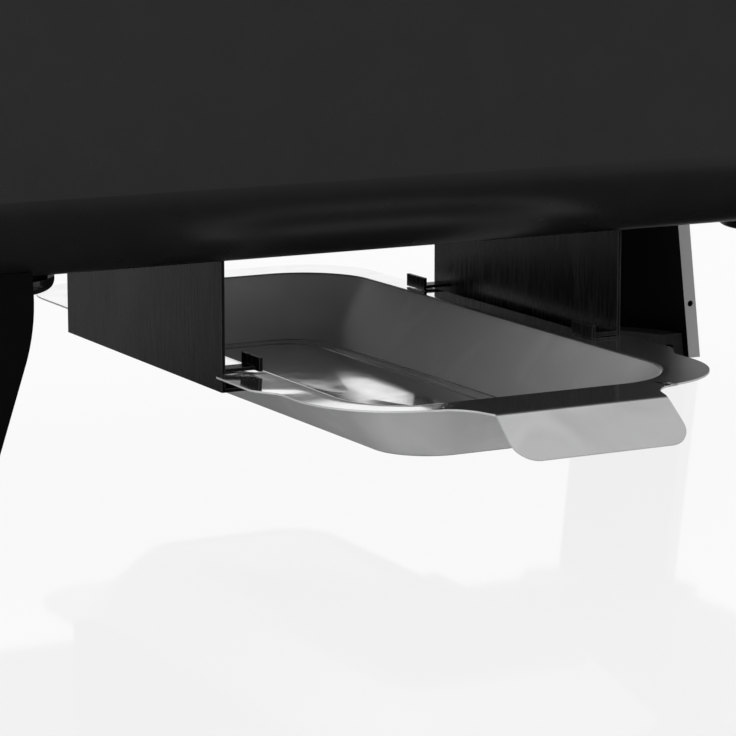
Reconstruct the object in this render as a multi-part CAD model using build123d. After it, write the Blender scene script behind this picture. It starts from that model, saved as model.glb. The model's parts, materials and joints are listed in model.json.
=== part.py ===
from build123d import *
import os
from math import cos, radians, sin, sqrt, tan

# Hybrid grill for the table: an enamelled tub on corner legs holds a fire bowl, a charcoal grate, a lift-out
# electric element and a grill grate, and a grease tray slides in runners under the body.
# Millimetres. +X is the right end, +Y the back and +Z up, and the table is at z = 0.

# Body shell
body_width = 510.0
body_depth = 300.0
body_corner = 70.0
underside_height = 96.0
casing_height = 132.0
casing_sheet = 1.5
underside_round = 26.0
rim_width = 8.0
rim_height = 8.0
rim_round = 3.6

# Clearances
seat_gap = 0.3
hole_play = 0.1
running_play = 0.05
overrun = 5.0

# Fire bowl and its drain
bowl_gap = 12.0
bowl_sheet = 1.5
bowl_depth = 111.5
bowl_round = 22.0
bowl_flange_width = 15.0
ledge_width = 8.0
ledge_drop = 15.5
dish_radius = 36.0
dish_depth = 6.0
spout_radius = 10.0
spout_wall = 2.0
spout_collar_width = 4.0
spout_collar_height = 1.5
spout_drop = 10.0
spout_hole_play = 3.0

# Runners under the body
runner_half_span = 74.3
runner_length = 125.5
runner_setback = 32.0
runner_bottom = 52.6
runner_sheet = 1.2
runner_flange = 16.0
lip_width = 9.0
lip_height = 4.7
tab_reach = 12.9
tab_plate_length = 13.0
tab_plate_height = 4.5
tab_arm_width = 6.0
tab_lead = 3.0
runner_screw_shares = (0.2, 0.8)
runner_screw_radius = 2.0
runner_screw_head_radius = 3.8
runner_screw_head_height = 2.2
runner_nut_radius = 4.0
runner_nut_height = 3.2

# Grease tray
tray_sheet = 1.0
tray_side_half = 68.0
tray_ear_half = 77.5
tray_ear_length = 27.0
tray_shoulder_half = 72.0
tray_front_reach = 80.0
tray_rear_reach = 192.5
tray_front_corner = 34.0
tray_rear_corner = 28.0
tray_ear_round = 3.0
tray_neck_round = 4.0
tray_side_margin = 11.0
tray_front_margin = 8.3
tray_rear_margin = 16.7
tub_corner = 28.0
tub_depth = 20.5
tub_draft = 13.0
tub_bottom_round = 9.0
tub_rim_round = 2.5
pull_root_half = 34.0
pull_crease_half = 28.5
pull_tip_half = 29.0
pull_length = 15.0
pull_drop_length = 18.7
pull_drop_angle = 38.0
pull_root_round = 10.0
pull_tip_round = 8.0

# Corner legs and feet
leg_inset = 13.0
leg_lean_angle = 6.5
leg_wall = 5.5
leg_end_inset = 44.2
leg_clear = 1.5
leg_top_rise = 12.0
front_leg_width = 97.0
front_leg_bend_height = 82.0
front_leg_slant_angle = 21.0
front_leg_bend_round = 60.0
rear_leg_width = 37.0
rear_leg_slant_angle = 8.0
leg_edge_hole_radius = 1.3
leg_edge_hole_depth = 8.0
leg_edge_hole_height = 25.0
foot_width = 10.0
foot_height = 12.0
foot_end_gap = 3.0
foot_screw_height = 7.5
front_screw_angles = (18.0, 72.0)
rear_screw_angles = (18.0, 46.0)
foot_screw_radius = 1.8
foot_screw_length = 8.0
foot_screw_head_radius = 4.5
foot_screw_head_height = 3.2
foot_screw_dome = 2.4

# Leg fixing: tongue, round boss, bolt and nut
tongue_thickness = 1.5
tongue_margin = 2.0
boss_radius = 24.0
boss_height = 4.5
boss_round = 3.0
front_boss_inset_x = 6.0
front_boss_inset_y = 32.0
rear_boss_inset_x = 52.0
rear_boss_inset_y = 42.0
leg_bolt_radius = 2.5
leg_bolt_head_radius = 4.6
leg_bolt_head_height = 3.5
leg_nut_radius = 4.6
leg_nut_height = 4.0
bolt_end = 2.0

# Grates
grate_play = 2.0
grate_height = 10.0
grate_foot_height = 2.7
grate_foot_width = 5.0
grate_foot_length = 24.0
grate_frame = 9.0
grate_corner = 60.0
grate_bar_foot = 7.0
grate_bar_crown = 4.0
grate_bar_pitch = 15.0
grate_rib = 9.0
coal_plate_gap = 14.0
coal_plate_sheet = 2.0
coal_plate_corner = 36.0
coal_foot_height = 12.0
coal_foot_radius = 5.0
coal_foot_inset = 12.0
coal_slot_width = 8.0
coal_slot_length = 84.0
coal_slot_pitch = 22.0
coal_slot_margin = 24.0

# Electric element
tube_radius = 4.0
tail_half_gap = 18.0
tail_end = 15.0
tail_bend_round = 14.0
outer_row_share = 0.725
inner_row_share = 0.285
run_end_share = 0.89
inner_turn_share = 0.69
turn_round_share = 0.45
tie_shares = (-0.62, 0.4)
tie_width = 10.0
tie_sheet = 1.5
tie_wall_gap = 3.0
tie_tab_reach = 6.0
notch_width = 60.0
notch_floor_height = 178.0
bracket_sheet = 2.0
bracket_width = 90.0
bracket_top_drop = 2.0
bracket_skirt = 6.0
shelf_sheet = 1.5
shelf_side_play = 2.0
shelf_inner_reach = 4.0
unit_clearance = 2.0

# Control box
housing_depth = 36.0
housing_width = 96.0
housing_height = 54.0
housing_top_drop = 14.0
housing_wall = 2.5
housing_edge_round = 5.0
cover_height = 4.0
cover_edge_round = 1.5
post_radius = 4.0
post_sink = 0.8
control_screw_radius = 1.5
control_screw_length = 12.0
control_screw_head_radius = 3.0
control_screw_head_height = 1.6
screw_sink = 1.8
thermostat_depth = 26.0
thermostat_width = 28.0
thermostat_height = 23.0
shaft_radius = 3.0
shaft_length = 30.0
shaft_socket = 13.0
shaft_hole_play = 0.4
knob_skirt_radius = 17.0
knob_skirt_height = 4.0
knob_bar_width = 9.0
knob_bar_height = 13.0
knob_edge_round = 1.5
knob_gap = 0.6
lamp_radius = 3.5
lamp_height = 2.0
lamp_offset = 32.0
inlet_width = 30.0
inlet_height = 22.0
inlet_depth = 17.0
inlet_wall = 3.0
inlet_lip = 2.5
inlet_lip_height = 1.5
inlet_offset = 22.0
inlet_rise = 16.0
pin_width = 2.0
pin_height = 4.0
pin_pitch = 7.0
pin_length = 8.0
pin_earth_rise = 3.0
terminal_width = 30.0
terminal_depth = 16.0
terminal_height = 11.0
terminal_offset = 20.0

# End handles
handle_radius = 5.0
handle_reach = 90.0
handle_post_offset = 66.0
handle_drop = 28.0
handle_bend = 22.0
handle_flange_radius = 10.0
handle_flange_height = 2.5
grip_radius = 10.5
grip_length = 84.0
grip_end_round = 4.0
handle_bolt_radius = 2.5
handle_bolt_length = 14.0
handle_bolt_head_radius = 5.0
handle_bolt_head_height = 4.0

# Air dampers on the back wall
damper_centre_share = 0.47
vent_height_share = 0.52
vent_slot_width = 8.0
vent_slot_height = 30.0
vent_pitch = 20.0
vent_count = 4
damper_margin = 8.0
damper_sheet = 1.5
damper_travel = 10.0
rail_base = 8.0
rail_lap = 4.0
rail_lip = 1.5
rail_end = 6.0
rivet_radius = 1.5
rivet_head_radius = 3.0
rivet_head_height = 1.6
rivet_dome = 1.2
damper_stem_radius = 3.5
damper_stem_length = 5.0
damper_head_radius = 8.0
damper_head_length = 6.0
damper_head_round = 2.0

# Levels and half sizes that the sizes above fix
half_width = body_width / 2
half_depth = body_depth / 2
rim_top = underside_height + casing_height
casing_floor = underside_height + casing_sheet
bowl_top = rim_top + bowl_sheet
handle_height = rim_top - handle_drop
bowl_floor = bowl_top - bowl_depth
ledge_height = bowl_top - ledge_drop
upper_inset = casing_sheet + bowl_gap + bowl_sheet
upper_half_x = half_width - upper_inset
upper_half_y = half_depth - upper_inset
upper_corner = body_corner - upper_inset
lower_half_x = upper_half_x - ledge_width
lower_half_y = upper_half_y - ledge_width
lower_corner = upper_corner - ledge_width
runner_front = -half_depth + runner_setback
tray_stop = runner_front - seat_gap
tray_top = runner_bottom + lip_height + seat_gap + tray_sheet
tub_half_width = tray_side_half - tray_side_margin
tub_front_reach = tray_front_reach - tray_front_margin
tub_rear_reach = tray_rear_reach - tray_rear_margin
leg_half_x = half_width - leg_inset
leg_half_y = half_depth - leg_inset
leg_corner = body_corner - leg_inset
leg_end_y = leg_half_y - leg_end_inset
leg_lean_share = tan(radians(leg_lean_angle))
boss_top = underside_height - seat_gap - tongue_thickness
front_boss_x = leg_half_x - front_leg_width + front_boss_inset_x
front_boss_y = leg_half_y - front_boss_inset_y
rear_boss_x = leg_half_x - rear_boss_inset_x
rear_boss_y = leg_half_y - rear_boss_inset_y
shelf_low = notch_floor_height + seat_gap
element_height = shelf_low + shelf_sheet + tube_radius + seat_gap
bracket_face = half_width + rim_width + unit_clearance
housing_back = bracket_face + bracket_sheet
housing_front = housing_back + housing_depth
housing_middle = (housing_back + housing_front) / 2
housing_top = rim_top - housing_top_drop
housing_bottom = housing_top - housing_height
cover_top = housing_top + cover_height
post_inset = housing_wall + post_radius - post_sink
vent_height = underside_height + vent_height_share * casing_height
damper_centre = damper_centre_share * half_width
damper_half_width = vent_pitch * vent_count / 2 + damper_margin
damper_half_height = vent_slot_height / 2 + damper_margin
damper_back = half_depth + seat_gap + damper_sheet

# Reach of the front and the back, so that the origin lies under the middle of the whole
pull_crease = tray_stop - tray_front_reach - pull_length
pull_slope = radians(pull_drop_angle)
front_reach = -pull_crease + pull_drop_length * cos(pull_slope)
rear_reach = damper_back + damper_stem_length + damper_head_length
middle_y = (rear_reach - front_reach) / 2

sides = (-1, 1)
quarter_turn = 90.0
up = (0, 0, 1)
down = (0, 0, -1)


def block(low, high):
    """Box between two opposite corners."""
    size = [b - a for a, b in zip(low, high)]
    middle = [(a + b) / 2 for a, b in zip(low, high)]
    return Pos(*middle) * Box(*size)


def rod(start, direction, radius, length):
    """Round bar from a point along a direction."""
    base = Plane(origin=start, z_dir=direction)
    return base * Cylinder(radius, length, align=(Align.CENTER, Align.CENTER, Align.MIN))


def hexagon(start, direction, radius, length):
    """Six-sided bar from a point along a direction."""
    base = Plane(origin=start, z_dir=direction)
    return extrude(base * RegularPolygon(radius, 6), amount=length)


def ends(solid):
    """Edges of the two end faces of an upright block."""
    faces = solid.faces().sort_by(Axis.Z)
    return faces[0].edges() + faces[-1].edges()


def rounded_block(half_x, half_y, corner, z_low, z_high):
    """Upright block with rounded corners."""
    outline = RectangleRounded(2 * half_x, 2 * half_y, corner)
    return Pos(0, 0, z_low) * extrude(outline, amount=z_high - z_low)


def tub(half_x, half_y, corner, z_low, z_high, bottom_round):
    """Rounded block with a rounded bottom edge."""
    solid = rounded_block(half_x, half_y, corner, z_low, z_high)
    return fillet(solid.faces().sort_by(Axis.Z)[0].edges(), bottom_round)


def rounded_face(corners):
    """Flat face from corners that each carry the radius of their rounding."""
    points = [(x, y) for x, y, radius in corners]
    radii = [radius for x, y, radius in corners]
    return make_face(FilletPolyline(*points, radius=radii, close=True))


def upright_prism(points, radii, y_low, y_high):
    """Closed outline in X and Z with rounded corners, run along Y."""
    face = make_face(FilletPolyline(*points, radius=radii, close=True))
    return Pos(0, y_high, 0) * extrude(Plane.XZ * face, amount=y_high - y_low)


def other_side(piece):
    """The same piece at the other end of the body."""
    return mirror(piece, about=Plane.YZ)


def group(pieces):
    """Separate solids kept in one node."""
    return Compound([solid for piece in pieces for solid in piece.solids()])


# Places of the fasteners, shared by their holes

def runner_screw_places():
    middle = runner_half_span - runner_sheet - runner_flange / 2
    return [(side * middle, runner_front + share * runner_length)
            for side in sides for share in runner_screw_shares]


def boss_places():
    front = [(side * front_boss_x, -front_boss_y) for side in sides]
    return front + [(side * rear_boss_x, rear_boss_y) for side in sides]


def handle_bolt_places():
    return [(side, post * handle_post_offset) for side in sides for post in sides]


def vent_offsets():
    first = -vent_pitch * (vent_count - 1) / 2
    return [first + vent_pitch * step for step in range(vent_count)]


def rivet_places():
    """X and Z of the right damper's rail rivets."""
    low_x = damper_centre - damper_half_width - rail_end / 2
    high_x = damper_centre + damper_half_width + damper_travel + rail_end / 2
    rise = damper_half_height + seat_gap + rail_base / 2
    return [(x, vent_height + turn * rise) for x in (low_x, high_x) for turn in sides]


# Body shell

def casing_outside():
    return tub(half_width, half_depth, body_corner, underside_height, rim_top, underside_round)


def element_notch():
    """Opening in the right end, from the shelf up through the rim, that lets the element unit lift out."""
    low = (lower_half_x - overrun, -notch_width / 2, notch_floor_height)
    high = (half_width + rim_width + overrun, notch_width / 2, bowl_top + overrun)
    return block(low, high)


def casing():
    rim = rounded_block(half_width + rim_width, half_depth + rim_width, body_corner + rim_width,
                        rim_top - rim_height, rim_top)
    rim = fillet(ends(rim), rim_round)
    inside = tub(half_width - casing_sheet, half_depth - casing_sheet, body_corner - casing_sheet,
                 casing_floor, rim_top + overrun, underside_round - casing_sheet)
    shell = casing_outside() + rim - inside - element_notch()
    floor_cut = casing_sheet + 2 * overrun
    floor_holes = [((0, 0), spout_radius + spout_hole_play)]
    floor_holes += [(place, runner_screw_radius + hole_play) for place in runner_screw_places()]
    floor_holes += [(place, leg_bolt_radius + hole_play) for place in boss_places()]
    for (x, y), radius in floor_holes:
        shell -= rod((x, y, underside_height - overrun), up, radius, floor_cut)
    for side, y in handle_bolt_places():
        start = (side * (half_width - casing_sheet - overrun), y, handle_height)
        shell -= rod(start, (side, 0, 0), handle_bolt_radius + hole_play, floor_cut)
    wall_low = half_depth - casing_sheet - overrun
    for side in sides:
        for offset in vent_offsets():
            x = side * (damper_centre + offset)
            low = (x - vent_slot_width / 2, wall_low, vent_height - vent_slot_height / 2)
            high = (x + vent_slot_width / 2, half_depth + overrun, vent_height + vent_slot_height / 2)
            shell -= block(low, high)
        for x, z in rivet_places():
            shell -= rod((side * x, wall_low, z), (0, 1, 0), rivet_radius + hole_play, floor_cut)
    return shell


def fire_bowl():
    spread = bowl_sheet + bowl_flange_width
    flange = rounded_block(upper_half_x + spread, upper_half_y + spread, upper_corner + spread,
                           rim_top, bowl_top)
    upper = rounded_block(upper_half_x + bowl_sheet, upper_half_y + bowl_sheet, upper_corner + bowl_sheet,
                          ledge_height - bowl_sheet, bowl_top)
    lower = tub(lower_half_x + bowl_sheet, lower_half_y + bowl_sheet, lower_corner + bowl_sheet,
                bowl_floor - bowl_sheet, ledge_height, bowl_round + bowl_sheet)
    upper_room = rounded_block(upper_half_x, upper_half_y, upper_corner, ledge_height, bowl_top + overrun)
    lower_room = tub(lower_half_x, lower_half_y, lower_corner, bowl_floor, bowl_top + overrun, bowl_round)
    dish_floor = bowl_floor - dish_depth
    dish_foot = spout_radius + spout_collar_width + bowl_sheet
    on_base = (Align.CENTER, Align.CENTER, Align.MIN)
    dish = Cone(dish_foot + bowl_sheet, dish_radius + bowl_sheet, dish_depth, align=on_base)
    dish = Pos(0, 0, dish_floor - bowl_sheet) * dish
    dish_room = Pos(0, 0, dish_floor) * Cone(dish_foot, dish_radius, dish_depth, align=on_base)
    bowl = flange + upper + lower + dish - upper_room - lower_room - dish_room
    drain_low = dish_floor - bowl_sheet - overrun
    drain = rod((0, 0, drain_low), up, spout_radius + hole_play, bowl_sheet + 2 * overrun)
    return bowl - drain - element_notch()


def drain_spout():
    """Flanged tube that hangs in the bowl's dish and drips into the tray."""
    dish_floor = bowl_floor - dish_depth
    tip = underside_height - spout_drop
    collar = rod((0, 0, dish_floor), up, spout_radius + spout_collar_width, spout_collar_height)
    tube = rod((0, 0, tip), up, spout_radius, dish_floor - tip)
    bore = rod((0, 0, tip - overrun), up, spout_radius - spout_wall, dish_floor - tip + 2 * overrun)
    return collar + tube - bore


# Runners and tray

def right_runner():
    rear = runner_front + runner_length
    face = runner_half_span
    inner = face - runner_sheet
    lip_end = face - lip_width
    plate_end = face - tab_reach
    solid = block((inner, runner_front, runner_bottom), (face, rear, underside_height))
    solid += block((lip_end, runner_front, runner_bottom), (face, rear, runner_bottom + runner_sheet))
    solid += block((lip_end, runner_front, runner_bottom),
                   (lip_end + runner_sheet, rear, runner_bottom + lip_height))
    solid += block((inner - runner_flange, runner_front, underside_height - runner_sheet),
                   (face, rear, underside_height))
    arm_low = tray_top + seat_gap
    plate_inset = (tab_plate_length - tab_arm_width) / 2
    for plate_start in (runner_front - tab_lead, rear - tab_plate_length):
        plate_stop = plate_start + tab_plate_length
        solid += block((plate_end, plate_start + plate_inset, arm_low),
                       (face, plate_stop - plate_inset, arm_low + runner_sheet))
        solid += block((plate_end, plate_start, arm_low),
                       (plate_end + runner_sheet, plate_stop, arm_low + tab_plate_height))
    for x, y in runner_screw_places():
        solid -= rod((x, y, underside_height - overrun), up, runner_screw_radius + hole_play, 2 * overrun)
    return solid


def runner_screws():
    head_top = underside_height - runner_sheet
    screw_end = casing_floor + runner_nut_height + bolt_end
    pieces = []
    for x, y in runner_screw_places():
        head = rod((x, y, head_top), down, runner_screw_head_radius, runner_screw_head_height)
        head = fillet(head.faces().sort_by(Axis.Z)[0].edges(), runner_screw_head_height / 2)
        pieces.append(head + rod((x, y, head_top), up, runner_screw_radius, screw_end - head_top))
    return group(pieces)


def runner_nuts():
    pieces = []
    for x, y in runner_screw_places():
        nut = hexagon((x, y, casing_floor), up, runner_nut_radius, runner_nut_height)
        bore = rod((x, y, casing_floor - overrun), up, runner_screw_radius + hole_play,
                   runner_nut_height + 2 * overrun)
        pieces.append(nut - bore)
    return group(pieces)


def tray_flange():
    """Flat flange with ears that stop against the runners and a waisted front for the pull tab."""
    front = tray_stop - tray_front_reach
    rear = runner_front + tray_rear_reach
    ear_front = tray_stop - tray_ear_length
    neck = tray_ear_half - tray_shoulder_half
    corners = [
        (pull_crease_half, pull_crease, 0),
        (pull_root_half, front, pull_root_round),
        (tray_shoulder_half, front, tray_front_corner),
        (tray_shoulder_half, ear_front - neck, tray_neck_round),
        (tray_ear_half, ear_front, tray_neck_round),
        (tray_ear_half, tray_stop, tray_ear_round),
        (tray_side_half, tray_stop, tray_ear_round),
        (tray_side_half, rear, tray_rear_corner),
    ]
    corners += [(-x, y, radius) for x, y, radius in reversed(corners)]
    return Pos(0, 0, tray_top - tray_sheet) * extrude(rounded_face(corners), amount=tray_sheet)


def tray_tub(grow, top, bottom, bottom_round):
    """Drafted tub of the tray, grown outwards by the sheet for its outside."""
    middle = runner_front + (tub_rear_reach - tub_front_reach) / 2
    half_length = (tub_rear_reach + tub_front_reach) / 2
    mouth = RectangleRounded(2 * (tub_half_width + grow), 2 * (half_length + grow), tub_corner + grow)
    inward = tub_draft - grow
    floor_corner = tub_corner - tub_draft / 2 + grow
    floor = RectangleRounded(2 * (tub_half_width - inward), 2 * (half_length - inward), floor_corner)
    solid = loft([Pos(0, middle, bottom) * floor, Pos(0, middle, top) * mouth], ruled=True)
    return fillet(solid.faces().sort_by(Axis.Z)[0].edges(), bottom_round)


def pull_tab():
    """Bent-down end of the pull tab."""
    tab_normal = (0, -sin(pull_slope), cos(pull_slope))
    tab_plane = Plane(origin=(0, pull_crease, tray_top), x_dir=(1, 0, 0), z_dir=tab_normal)
    corners = [
        (pull_crease_half, 0, 0),
        (pull_tip_half, -pull_drop_length, pull_tip_round),
        (-pull_tip_half, -pull_drop_length, pull_tip_round),
        (-pull_crease_half, 0, 0),
    ]
    return extrude(tab_plane * rounded_face(corners), amount=-tray_sheet)


def drip_tray():
    floor = tray_top - tub_depth
    outside = tray_tub(tray_sheet, tray_top, floor - tray_sheet, tub_bottom_round + tray_sheet)
    room = tray_tub(0, tray_top, floor, tub_bottom_round)
    tray = tray_flange() + pull_tab() + outside - room
    top_face = tray.faces().filter_by(Axis.Z).sort_by(Axis.Z)[-1]
    return fillet(top_face.inner_wires().edges(), tub_rim_round)


# Legs

def leg_cone(inset, z_low, z_high):
    """Solid inside the leg walls, set in by an inset and leaning outwards to the table."""
    sections = []
    for z in (z_low, z_high):
        grow = leg_lean_share * (underside_height - z) - inset
        outline = RectangleRounded(2 * (leg_half_x + grow), 2 * (leg_half_y + grow), leg_corner + grow)
        sections.append(Pos(0, 0, z) * outline)
    return loft(sections, ruled=True)


def leg_region(front, end_gap):
    """Room of one right-hand leg: beyond its inner edge, and beyond the end of its side wall."""
    far = body_width
    y_far = body_depth
    z_low = 0
    z_high = underside_height + leg_top_rise
    if front:
        edge = leg_half_x - front_leg_width + end_gap
        bend = front_leg_bend_height
        slant_share = tan(radians(front_leg_slant_angle))
        foot_edge = edge + slant_share * (bend - z_low)
        points = [(edge, z_high), (edge, bend), (foot_edge, z_low), (far, z_low), (far, z_high)]
        radii = [0, front_leg_bend_round, 0, 0, 0]
        return upright_prism(points, radii, -y_far, -leg_end_y - end_gap)
    edge = leg_half_x - rear_leg_width + end_gap
    foot_edge = edge + tan(radians(rear_leg_slant_angle)) * (z_high - z_low)
    points = [(edge, z_high), (foot_edge, z_low), (far, z_low), (far, z_high)]
    return upright_prism(points, [0, 0, 0, 0], leg_end_y + end_gap, y_far)


def foot_screw_axes(front):
    """Start on the leg's outer face and outward direction of the foot screws of a right-hand leg."""
    turn = -1 if front else 1
    lean = radians(leg_lean_angle)
    reach = leg_corner + leg_lean_share * (underside_height - foot_screw_height)
    axes = []
    for angle in front_screw_angles if front else rear_screw_angles:
        across = cos(radians(angle))
        along = sin(radians(angle))
        start = (leg_half_x - leg_corner + reach * across, turn * (leg_half_y - leg_corner + reach * along),
                 foot_screw_height)
        axes.append((start, (cos(lean) * across, turn * cos(lean) * along, sin(lean))))
    return axes


def screw_hole(start, direction, radius, length):
    """Hole along a screw, from outside the head side to past its end."""
    tail = [a - length * d for a, d in zip(start, direction)]
    return rod(tail, direction, radius, length + overrun)


def right_leg(front):
    top = underside_height + leg_top_rise
    wall = leg_cone(0, leg_clear, top) - leg_cone(leg_wall, 0, top + overrun)
    leg = wall & leg_region(front, 0)
    turn = -1 if front else 1
    boss_x, boss_y = (front_boss_x, front_boss_y) if front else (rear_boss_x, rear_boss_y)
    tongue_half = boss_radius - tongue_margin
    y_span = sorted((turn * (boss_y - tongue_half), turn * half_depth))
    tongue_room = block((boss_x, y_span[0], boss_top), (half_width, y_span[1], underside_height))
    tongue_room += rod((boss_x, turn * boss_y, boss_top), up, tongue_half, underside_height - boss_top)
    leg += leg_cone(leg_wall / 2, boss_top, underside_height) & tongue_room
    leg -= Pos(0, 0, -seat_gap) * casing_outside()
    leg -= rod((boss_x, turn * boss_y, boss_top - overrun), up, leg_bolt_radius + hole_play, 2 * overrun)
    for start, direction in foot_screw_axes(front):
        leg -= screw_hole(start, direction, foot_screw_radius + hole_play, leg_wall + overrun)
    reach = leg_corner + leg_lean_share * (underside_height - leg_edge_hole_height) - leg_wall / 2
    rise = leg_end_y - (leg_half_y - leg_corner)
    hole_x = leg_half_x - leg_corner + sqrt(reach * reach - rise * rise)
    return leg - rod((hole_x, turn * leg_end_y, leg_edge_hole_height), (0, turn, 0), leg_edge_hole_radius,
                     leg_edge_hole_depth)


def right_foot(front):
    """Rubber strip inside the bottom of a leg."""
    outer = leg_wall + hole_play
    strip = leg_cone(outer, 0, foot_height) - leg_cone(outer + foot_width, -overrun, foot_height + overrun)
    strip = strip & leg_region(front, foot_end_gap)
    for start, direction in foot_screw_axes(front):
        strip -= screw_hole(start, direction, foot_screw_radius + hole_play, leg_wall + foot_screw_length)
    return strip


def foot_screws():
    pieces = []
    for front in (True, False):
        for start, direction in foot_screw_axes(front):
            seat = [a + hole_play * d for a, d in zip(start, direction)]
            head = rod(seat, direction, foot_screw_head_radius, foot_screw_head_height)
            tip = head.faces().sort_by(Axis(seat, direction))[-1]
            head = fillet(tip.edges(), foot_screw_dome)
            back = [-d for d in direction]
            screw = head + rod(seat, back, foot_screw_radius, leg_wall + foot_screw_length - overrun)
            pieces += [screw, other_side(screw)]
    return group(pieces)


def leg_bosses():
    pieces = []
    for x, y in boss_places():
        disc = rod((x, y, boss_top - boss_height), up, boss_radius, boss_height)
        disc = fillet(disc.faces().sort_by(Axis.Z)[0].edges(), boss_round)
        pieces.append(disc - rod((x, y, boss_top - boss_height - overrun), up, leg_bolt_radius + hole_play,
                                 boss_height + 2 * overrun))
    return group(pieces)


def leg_bolts():
    low = boss_top - boss_height
    length = casing_floor + leg_nut_height + bolt_end - low
    return group([hexagon((x, y, low), down, leg_bolt_head_radius, leg_bolt_head_height)
                  + rod((x, y, low), up, leg_bolt_radius, length) for x, y in boss_places()])


def leg_nuts():
    pieces = []
    for x, y in boss_places():
        nut = hexagon((x, y, casing_floor), up, leg_nut_radius, leg_nut_height)
        bore = rod((x, y, casing_floor - overrun), up, leg_bolt_radius + hole_play,
                   leg_nut_height + 2 * overrun)
        pieces.append(nut - bore)
    return group(pieces)


# Grates

def grate_window(middle, y_low, y_high, z_low):
    """Gap between two bars, wider at the top because the bars taper to their crowns."""
    foot = grate_bar_pitch - grate_bar_foot
    crown = grate_bar_pitch - grate_bar_crown
    half_length = (y_high - y_low) / 2
    flare = (crown - foot) / 2
    lower = Rectangle(foot, 2 * half_length)
    upper = Rectangle(crown, 2 * (half_length + flare))
    centre_y = (y_low + y_high) / 2
    low_place = Pos(middle, centre_y, z_low)
    high_place = Pos(middle, centre_y, z_low + grate_height)
    return loft([low_place * lower, high_place * upper], ruled=True)


def grill_grate():
    half_x = upper_half_x - grate_play
    half_y = upper_half_y - grate_play
    low = ledge_height + seat_gap + grate_foot_height
    grate = rounded_block(half_x, half_y, grate_corner, low, low + grate_height)
    room_x = half_x - grate_frame
    room_y = half_y - grate_frame
    count = int((2 * room_x - grate_bar_foot) // grate_bar_pitch)
    first = -grate_bar_pitch * (count - 1) / 2
    corner_x = half_x - grate_corner
    corner_y = half_y - grate_corner
    inner_corner = grate_corner - grate_frame
    windows = []
    for step in range(count):
        middle = first + grate_bar_pitch * step
        past = max(0, abs(middle) + grate_bar_pitch / 2 - corner_x)
        reach = corner_y + sqrt(max(0, inner_corner * inner_corner - past * past))
        for turn in sides:
            span = sorted((turn * grate_rib / 2, turn * min(room_y, reach)))
            windows.append(grate_window(middle, span[0], span[1], low))
    grate -= windows
    for turn_x in sides:
        for turn_y in sides:
            x_span = sorted((turn_x * corner_x, turn_x * (corner_x - grate_foot_length)))
            y_span = sorted((turn_y * half_y, turn_y * (half_y - grate_foot_width)))
            grate += block((x_span[0], y_span[0], low - grate_foot_height), (x_span[1], y_span[1], low))
    return grate


def charcoal_grate():
    half_x = lower_half_x - coal_plate_gap
    half_y = lower_half_y - coal_plate_gap
    foot_low = bowl_floor + seat_gap
    low = foot_low + coal_foot_height
    plate = rounded_block(half_x, half_y, coal_plate_corner, low, low + coal_plate_sheet)
    count = int((2 * (half_x - coal_slot_margin)) // coal_slot_pitch) + 1
    first = -coal_slot_pitch * (count - 1) / 2
    slots = []
    for step in range(count):
        for turn in sides:
            slot = SlotOverall(coal_slot_length, coal_slot_width, rotation=quarter_turn)
            place = Pos(first + coal_slot_pitch * step, turn * half_y / 2, low - overrun)
            slots.append(place * extrude(slot, amount=coal_plate_sheet + 2 * overrun))
    plate -= slots
    for turn_x in sides:
        for turn_y in sides:
            place = (turn_x * (half_x - coal_foot_inset), turn_y * half_y / 2, foot_low)
            plate += rod(place, up, coal_foot_radius, coal_foot_height)
    return plate


# Electric element unit

def heating_element():
    outer = outer_row_share * lower_half_y
    inner = inner_row_share * lower_half_y
    end = run_end_share * lower_half_x
    turn = inner_turn_share * lower_half_x
    tail = tail_half_gap
    half_route = [(housing_back + tail_end, -tail), (end, -tail), (end, -outer),
                  (-end, -outer), (-end, -inner), (turn, -inner)]
    route = half_route + [(x, -y) for x, y in reversed(half_route)]
    bend = turn_round_share * (outer - inner)
    corner_rounds = [tail_bend_round, bend, bend, bend, bend]
    path = FilletPolyline(*route, radius=corner_rounds + corner_rounds[::-1])
    start = Plane(origin=(route[0][0], route[0][1], 0), z_dir=(-1, 0, 0))
    tube = sweep(start * Circle(tube_radius), path=path)
    return Pos(0, 0, element_height) * tube


def element_ties():
    """Cross straps under the tube whose bent ends hang on the bowl's ledge."""
    strap_top = element_height - tube_radius - running_play
    strap_low = strap_top - tie_sheet
    wall = lower_half_y - tie_wall_gap
    tab_low = ledge_height + seat_gap
    pieces = []
    for share in tie_shares:
        low_x = share * lower_half_x - tie_width / 2
        high_x = low_x + tie_width
        strap = block((low_x, -wall, strap_low), (high_x, wall, strap_top))
        for turn in sides:
            post = sorted((turn * wall, turn * (wall - tie_sheet)))
            tab = sorted((turn * (wall - tie_sheet), turn * (lower_half_y + tie_tab_reach)))
            strap += block((low_x, post[0], strap_low), (high_x, post[1], tab_low + tie_sheet))
            strap += block((low_x, tab[0], tab_low), (high_x, tab[1], tab_low + tie_sheet))
        pieces.append(strap)
    return group(pieces)


def tail_holes(length):
    start_x = bracket_face - length
    radius = tube_radius + hole_play
    return [rod((start_x, turn * tail_half_gap, element_height), (1, 0, 0), radius, 2 * length)
            for turn in sides]


def element_plate():
    """Bracket that rests in the rim notch and closes it, with the element's tails through it."""
    shelf_half = notch_width / 2 - shelf_side_play
    plate = block((bracket_face, -bracket_width / 2, notch_floor_height - bracket_skirt),
                  (housing_back, bracket_width / 2, rim_top - bracket_top_drop))
    shelf = block((lower_half_x - shelf_inner_reach, -shelf_half, shelf_low),
                  (bracket_face, shelf_half, shelf_low + shelf_sheet))
    return plate + shelf - tail_holes(housing_depth)


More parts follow.
